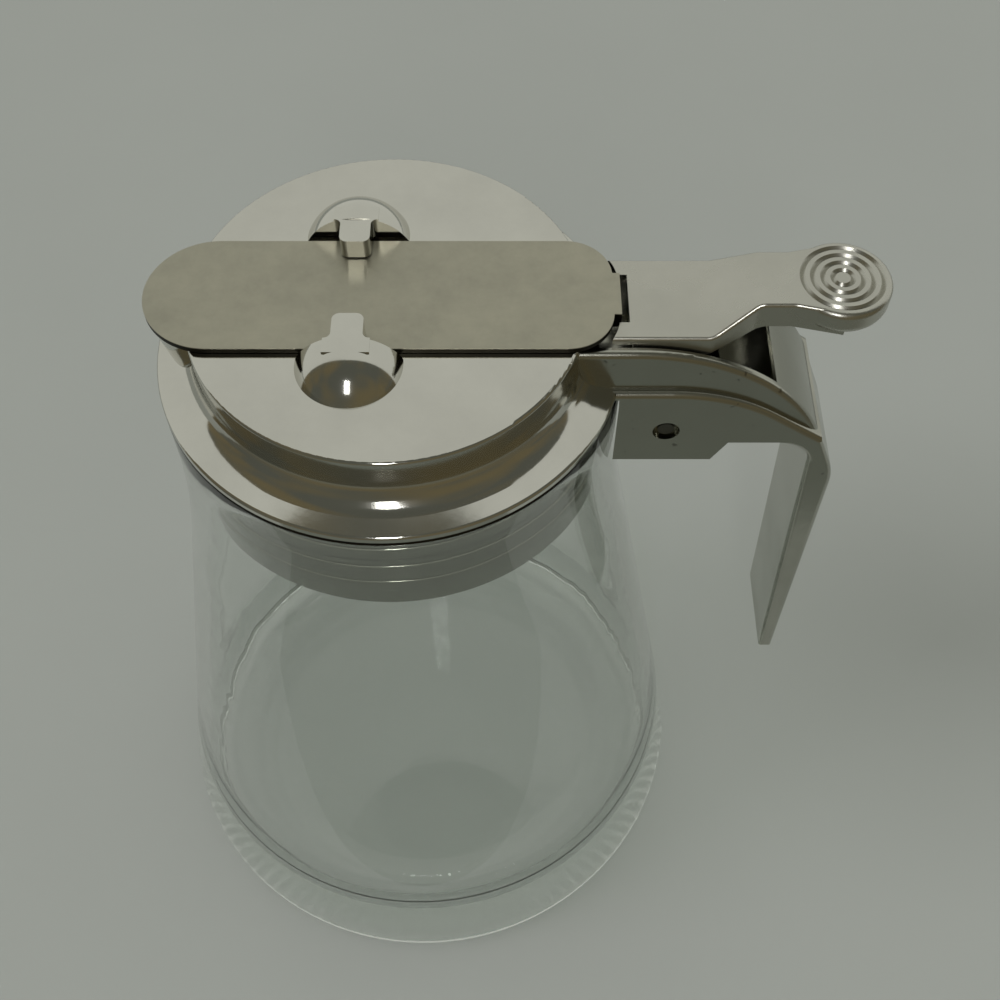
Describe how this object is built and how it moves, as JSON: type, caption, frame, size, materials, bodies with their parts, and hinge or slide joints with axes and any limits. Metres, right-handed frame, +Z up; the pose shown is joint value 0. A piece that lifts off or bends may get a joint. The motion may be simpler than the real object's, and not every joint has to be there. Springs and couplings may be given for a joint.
{
  "type": "syrup dispenser",
  "caption": "Clear glass syrup dispenser with a flared jar, a chromed cap and handle, and a thumb lever that slides a steel shutter off the pour hole.",
  "frame": {"origin": "on the table, under the middle of the round jar", "axes": "+Z up along the jar's axis, -X towards the spout, +X towards the handle, +Y to the left of a hand on the handle"},
  "size_m": [0.1197, 0.103, 0.1446],
  "materials": {
    "clear_glass": "gloss",
    "chrome_plate": "polished",
    "shutter_steel": "brushed",
    "lever_plate": "polished"
  },
  "bodies": {
    "base": {"glass_jar": "clear_glass", "cap": "chrome_plate", "keeper_front": "chrome_plate", "keeper_back": "chrome_plate", "handle": "chrome_plate", "pivot_pin": "shutter_steel"},
    "thumb_lever": {"lever": "lever_plate"},
    "sliding_shutter": {"shutter": "shutter_steel"}
  },
  "joints": [
    {"name": "lever_hinge", "type": "hinge", "parent": "base", "child": "thumb_lever", "pos_m": [0.0393, 0, 0.1228], "axis": [0, 1, 0], "range_deg": [0, 34], "stiffness_Nm_per_rad": 0.12, "springref_deg": -20.05},
    {"name": "shutter_slide", "type": "slide", "parent": "base", "child": "sliding_shutter", "axis": [1, 0, 0], "range_m": [0, 0.0108]}
  ],
  "couplings": [
    {"joint": "shutter_slide", "follows": "lever_hinge", "m_per_rad": 0.018}
  ]
}
